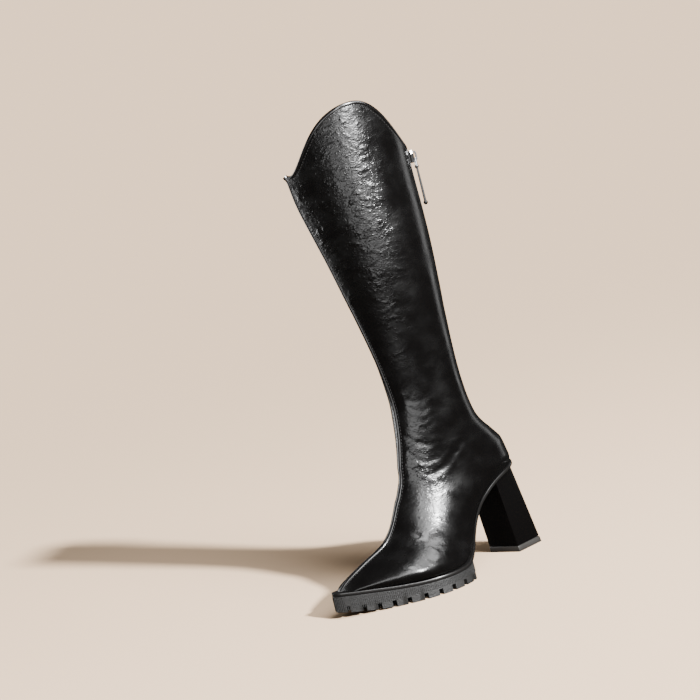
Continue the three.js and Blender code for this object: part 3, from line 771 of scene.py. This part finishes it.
# centre front seam: a welt with a row of stitches on each side
frontSeam = {"radius": 0.0025, "sink": 0.0013, "roundness": 5, "step": 0.003, "topDrop": 0.001}
seamTrack = eased(spaced(seamLine, frontSeam["step"]), 3)
sunk = []
for place in seamTrack:
    spot, normal = skin.closest_point_on_mesh(place)[1:3]
    sunk.append(spot - normal * frontSeam["sink"])
sunk[0] = seamLine[0] + Vector((0, 0, -frontSeam["topDrop"]))
welt = tube("frontSeam", eased(sunk, 3), frontSeam["radius"], frontSeam["roundness"])
finish(welt, "boot", "upper_leather", bindingLeather)
rows = {}
for side, way in (("inner", -1), ("outer", 1)):
    rows["seamStitches_" + side] = spotsOn(
        seamTrack[3:-2], skin, -stitch["frontSink"], way * stitch["frontSide"])
for side in rimPlaces:
    track = [out + down * stitch["collarDrop"] for out, inside, wall, down in rimPlaces[side]]
    rows["collarStitches_" + side] = spotsOn(eased(spaced(track, stitch["collarStep"]), 2), skin)
for side, way in (("outer", 1), ("inner", -1)):
    track = eased(spaced(slotEdges[side], stitch["slotStep"]), 2)[2:]
    rows["zipStitches_" + side] = spotsOn(track, skin, side=way * stitch["slotSide"])
model = oneStitch()
for name, spots in rows.items():
    finish(laidAlong(name, model, spots), "boot", "upper_leather", threadStuff)
bpy.data.objects.remove(model)
print("seam and stitches")

# zip: teeth from both tapes meet along the slot
teeth = {
    "pitch": 0.0021,
    "width": 0.0032,
    "height": 0.0011,
    "length": 0.42,  # share of the pitch
    "bevel": 0.00022,
    "apart": 0.0008,  # each tape's teeth lie this far to its own side
    "sink": 0.0007,
    "slider": (0.4085, 0.0075),  # height of the slider's middle, and half of its length
    "top": 0.415,
}
slotPairs = list(zip(slotEdges["outer"], slotEdges["inner"]))
chainTrack = spaced([(a + b) / 2 for a, b in slotPairs], teeth["pitch"] / 2)
halfWay = slotPairs[len(slotPairs) // 2]
acrossSlot = (halfWay[0] - halfWay[1]).normalized()
tooth = bevelledBlock((teeth["width"], teeth["height"], teeth["pitch"] * teeth["length"]), teeth["bevel"])
sliderHeight, sliderHalf = teeth["slider"]
spots = []
for index, (a, b) in enumerate(zip(chainTrack, chainTrack[1:])):
    level = frame["nodes"]["zip"].closest_point_on_mesh((a + b) / 2)[1].z
    if abs(level - sliderHeight) < sliderHalf or level > teeth["top"]:
        continue
    forward = (b - a).normalized()
    outwards = acrossSlot.cross(forward).normalized()
    if outwards.y < 0:
        outwards = -outwards
    shift = acrossSlot * (teeth["apart"] if index % 2 else -teeth["apart"])
    spots.append(((a + b) / 2 + shift - outwards * teeth["sink"], forward, outwards))
chain = laidAlong("zipTeeth", tooth, spots)
bpy.data.objects.remove(tooth)
finish(chain, "boot", "zip_tape", toothNylon)
print("zip teeth", len(spots))

# soles and heel
underParts = {  # piece, slot, finish, and the bevel that takes the hard look off its edges
    "midsole": ("midsoleLip", "midsole_rubber", edgeRubber, 0.0006, 2),
    "outsole": ("lugSole", "outsole_rubber", soleRubber, 0.0003, 1),
    "insole": ("sockLining", "insole_lining", liningCloth, 0.0004, 1),
    "heel": ("blockHeel", "heel_cover", heelCoat, 0.0012, 3),
    "heel_tip": ("topPiece", "heel_tip_rubber", tipRubber, 0.0005, 2),
}
hardEdges = {"bevelled": 38, "shaded": 32}  # degrees from which an edge is
for nodeName, (pieceName, slotName, material, width, segments) in underParts.items():
    piece = copyOfNode(nodeName, pieceName)
    edging = piece.modifiers.new("edging", "BEVEL")
    edging.width = width
    edging.segments = segments
    edging.limit_method = "ANGLE"
    edging.angle_limit = math.radians(hardEdges["bevelled"])
    applyAll(piece)
    bpy.ops.object.shade_smooth_by_angle(angle=math.radians(hardEdges["shaded"]))
    finish(piece, "boot", slotName, material, nodeName)
    print(pieceName, len(piece.data.polygons))
fittings = {"zip": tapeCloth, "zip_slider": polishedSteel, "pull_link": polishedSteel, "pull_tab": tabEnamel}
for nodeName, material in fittings.items():
    frame["nodes"][nodeName].data.materials.clear()
    frame["nodes"][nodeName].data.materials.append(material)

# shallow grooves across the middle of the tread
tread = {
    "first": -92,  # millimetres along the boot, as the pitch and the last are
    "last": -4,
    "pitch": 7.3,
    "width": 0.0018,
    "depth": 0.0014,
    "reach": 0.034,
    "block": 0.01,  # height of a cutter
    "highest": 0.009,  # what lies above this isn't the tread
    "under": -0.05,  # height from which the tread is felt for
    "toeShare": (0.35, 100, 60),  # grooves get shorter where the toe narrows
}
upwards = Vector((0, 0, 1))
sole = bpy.data.objects["lugSole"]
bpy.context.view_layer.update()
least, toe, widening = tread["toeShare"]
cutters = []
spot = tread["first"]
while spot < tread["last"]:
    found, place, _, _ = sole.ray_cast(Vector((-0.001 + 0.0001 * spot, spot / 1000, tread["under"])), upwards)
    if found and place.z < tread["highest"]:
        freshStart()
        level = place.z + tread["depth"] - tread["block"] / 2
        bpy.ops.mesh.primitive_cube_add(size=1, location=(place.x, place.y, level))
        cutter = bpy.context.object
        share = min(1, least + (spot + toe) / widening)
        cutter.scale = (tread["reach"] * share, tread["width"], tread["block"])
        cutters.append(cutter)
    spot += tread["pitch"]
cutter = joinAll(cutters, "treadCutter")
bpy.ops.object.transform_apply(location=True, rotation=True, scale=True)
carve = sole.modifiers.new("grooves", "BOOLEAN")
carve.object = cutter
carve.operation = "DIFFERENCE"
carve.solver = "EXACT"
applyAll(sole)
bpy.data.objects.remove(cutter)
print("tread", len(sole.data.polygons))

# fine upright ribs round the platform, above its notches
ribs = {
    "pitch": 0.0018,
    "width": 0.0007,
    "proud": 0.0005,
    "bevel": 0.00015,
    "foot": 0.0075,
    "middle": (-0.003, -0.045, 0.0115),  # inside the platform, above the notches
    "highest": 0.024,
    "step": 0.0005,  # by which a rib's top is felt for
    "astray": 0.003,  # a hit this far off is past the platform's side
    "probes": (0.3, 0.05, 0.02),  # how far off the outline, a rib and its top are felt for
    "clear": 0.02,  # least distance from the middle
    "margin": 0.0006,
    "shortest": 0.002,
}
bpy.context.view_layer.update()
middle = Vector(ribs["middle"])
farOff, nearby, closeBy = ribs["probes"]
outline = []
for step in range(720):
    turn = math.radians(step / 2)
    way = Vector((math.cos(turn), math.sin(turn), 0))
    found, place, _, _ = sole.ray_cast(middle + way * farOff, -way)
    if found and (place - middle).length > ribs["clear"]:
        outline.append(place)
outline.append(outline[0].copy())


def ribTop(place, normal):
    # how high the platform's side runs straight up from the place
    top = ribs["middle"][2]
    while top < ribs["highest"]:
        origin = Vector((place.x, place.y, top + ribs["step"])) + normal * closeBy
        found, hit, _, _ = sole.ray_cast(origin, -normal)
        if not found or (hit.xy - place.xy).length > ribs["astray"]:
            break
        top += ribs["step"]
    return top


rib = bevelledBlock((ribs["width"], ribs["proud"] * 2, 1), ribs["bevel"])
copies = []
for place in spaced(outline, ribs["pitch"]):
    way = place - middle
    way.z = 0
    way.normalize()
    found, _, normal, _ = sole.ray_cast(place + way * nearby, -way)
    if not found:
        continue
    normal = Vector((normal.x, normal.y, 0)).normalized()
    tall = ribTop(place, normal) - ribs["foot"] - ribs["margin"]
    if tall < ribs["shortest"]:
        continue
    where = Vector((place.x, place.y, ribs["foot"] + tall / 2))
    copies.append(copyAt(rib, Matrix.Diagonal((1, 1, tall, 1)),
                         standing(upwards.cross(normal), normal, upwards, where)))
ribbing = joinAll(copies, "soleRibs")
bpy.data.objects.remove(rib)
finish(ribbing, "boot", "outsole_rubber", soleRubber)
print("soles, ribs and fittings", len(copies))

# floor, light and camera
studio = {
    "floor": (0.83, 0.6, 0.405),
    "floorSize": 60,
    "air": (1, 0.97, 0.93),  # colour of the light from all round
    "ambient": 0.17,
    "mirrored": 0.05,  # the room's darker walls, as gloss reflects them
    "sun": 15.5,
    "sunAngle": 3.5,  # degrees that its disc takes up
    "sunHeight": 24,  # degrees above the floor
    "sunTurn": 88,  # degrees from the toe's way towards the outer side
}


def wayTo(turn, height):
    turn, height = math.radians(turn), math.radians(height)
    return Vector((math.sin(turn) * math.cos(height), -math.cos(turn) * math.cos(height), math.sin(height)))


freshStart()
bpy.ops.mesh.primitive_plane_add(size=studio["floorSize"], location=(0, 0, 0))
floor = bpy.context.object
floor.name = "floor"
floorMaterial, _, floorShader = newMaterial("paleFloor", studio["floor"], 1.0)
floorShader.inputs["Specular IOR Level"].default_value = 0.0
floor.data.materials.append(floorMaterial)
floor.visible_glossy = False

# the sky lights softly, gloss sees darker walls, and behind the floor lies the lit floor's colour
world = bpy.data.worlds.new("studio")
bpy.context.scene.world = world
world.use_nodes = True
tree = world.node_tree
lit = studio["sun"] * math.sin(math.radians(studio["sunHeight"])) / math.pi
farColour = [floorPart * (lit + studio["ambient"] * air)
             for floorPart, air in zip(studio["floor"], studio["air"])]
sky = tree.nodes["Background"]
sky.inputs["Color"].default_value = (*studio["air"], 1)
sky.inputs["Strength"].default_value = studio["ambient"]
walls = node(tree, "ShaderNodeBackground", Color=(*studio["air"], 1), Strength=studio["mirrored"])
farFloor = node(tree, "ShaderNodeBackground", Color=(*farColour, 1))
lightPath = node(tree, "ShaderNodeLightPath")


def seenBy(ray, usual, special):
    mix = node(tree, "ShaderNodeMixShader")
    tree.links.new(lightPath.outputs[ray], mix.inputs[0])
    tree.links.new(usual.outputs[0], mix.inputs[1])
    tree.links.new(special.outputs[0], mix.inputs[2])
    return mix


around = seenBy("Is Camera Ray", seenBy("Is Glossy Ray", sky, walls), farFloor)
tree.links.new(around.outputs[0], tree.nodes["World Output"].inputs[0])


def softLight(name, turn, height, away, size, power, aimHeight):
    # that way and that far from a point over the origin, and facing it
    data = bpy.data.lights.new(name, "AREA")
    data.energy = power
    data.shape = "RECTANGLE"
    data.size, data.size_y = size
    lamp = bpy.data.objects.new(name, data)
    lamp.location = Vector((0, 0, aimHeight)) + wayTo(turn, height) * away
    lamp.rotation_euler = (-wayTo(turn, height)).to_track_quat("-Z", "Y").to_euler()
    lamp.visible_camera = False
    bpy.context.scene.collection.objects.link(lamp)
    return lamp


sunData = bpy.data.lights.new("sun", "SUN")
sunData.energy = studio["sun"]
sunData.angle = math.radians(studio["sunAngle"])
sun = bpy.data.objects.new("sun", sunData)
sun.rotation_euler = (-wayTo(studio["sunTurn"], studio["sunHeight"])).to_track_quat("-Z", "Y").to_euler()
bpy.context.scene.collection.objects.link(sun)
frontWindow = softLight("frontWindow", 24, -1.5, 1.0, (0.55, 0.46), 3.7, 0.3)
frontSide = softLight("frontSide", 49, 4, 1.15, (0.4, 0.5), 3.2, 0.32)
softLight("overhead", 84, 48, 1.6, (0.4, 1.5), 40, 0.22)
vampStrip = softLight("vampStrip", 60, 30, 1.2, (0.2, 0.8), 8, 0.05)
instepStrip = softLight("instepStrip", 122, 52, 1.2, (0.26, 0.6), 9, 0.05)
backStrip = softLight("backStrip", 176, 4, 1.6, (0.35, 1.0), 1.6, 0.3)
insideFill = softLight("insideFill", 285, 12, 1.6, (0.9, 1.2), 17, 0.26)

# all of them but the overhead one work on the boot alone, so that they leave no edge on the floor
lamplit = bpy.data.collections.new("lamplit")
for piece in bpy.context.scene.objects:
    if piece.type == "MESH" and piece is not floor:
        lamplit.objects.link(piece)
for lamp in (frontWindow, frontSide, vampStrip, instepStrip, backStrip, insideFill):
    lamp.light_linking.receiver_collection = lamplit

view = {
    "place": (1.0822, -0.854, 0.3227),
    "aim": (-0.0245, -0.0269, 0.241),
    "roll": 14.3,  # degrees that the camera leans to one side
    "lens": 73.16,
    "sensor": 36,
}
camera = bpy.data.cameras.new("camera")
camera.lens = view["lens"]
camera.sensor_width = view["sensor"]
cameraObject = bpy.data.objects.new("camera", camera)
cameraObject.location = view["place"]
look = (Vector(view["aim"]) - Vector(view["place"])).to_track_quat("-Z", "Y").to_matrix()
cameraObject.rotation_euler = (look @ Matrix.Rotation(math.radians(-view["roll"]), 3, "Z")).to_euler()
bpy.context.scene.collection.objects.link(cameraObject)
bpy.context.scene.camera = cameraObject
print("stage set")
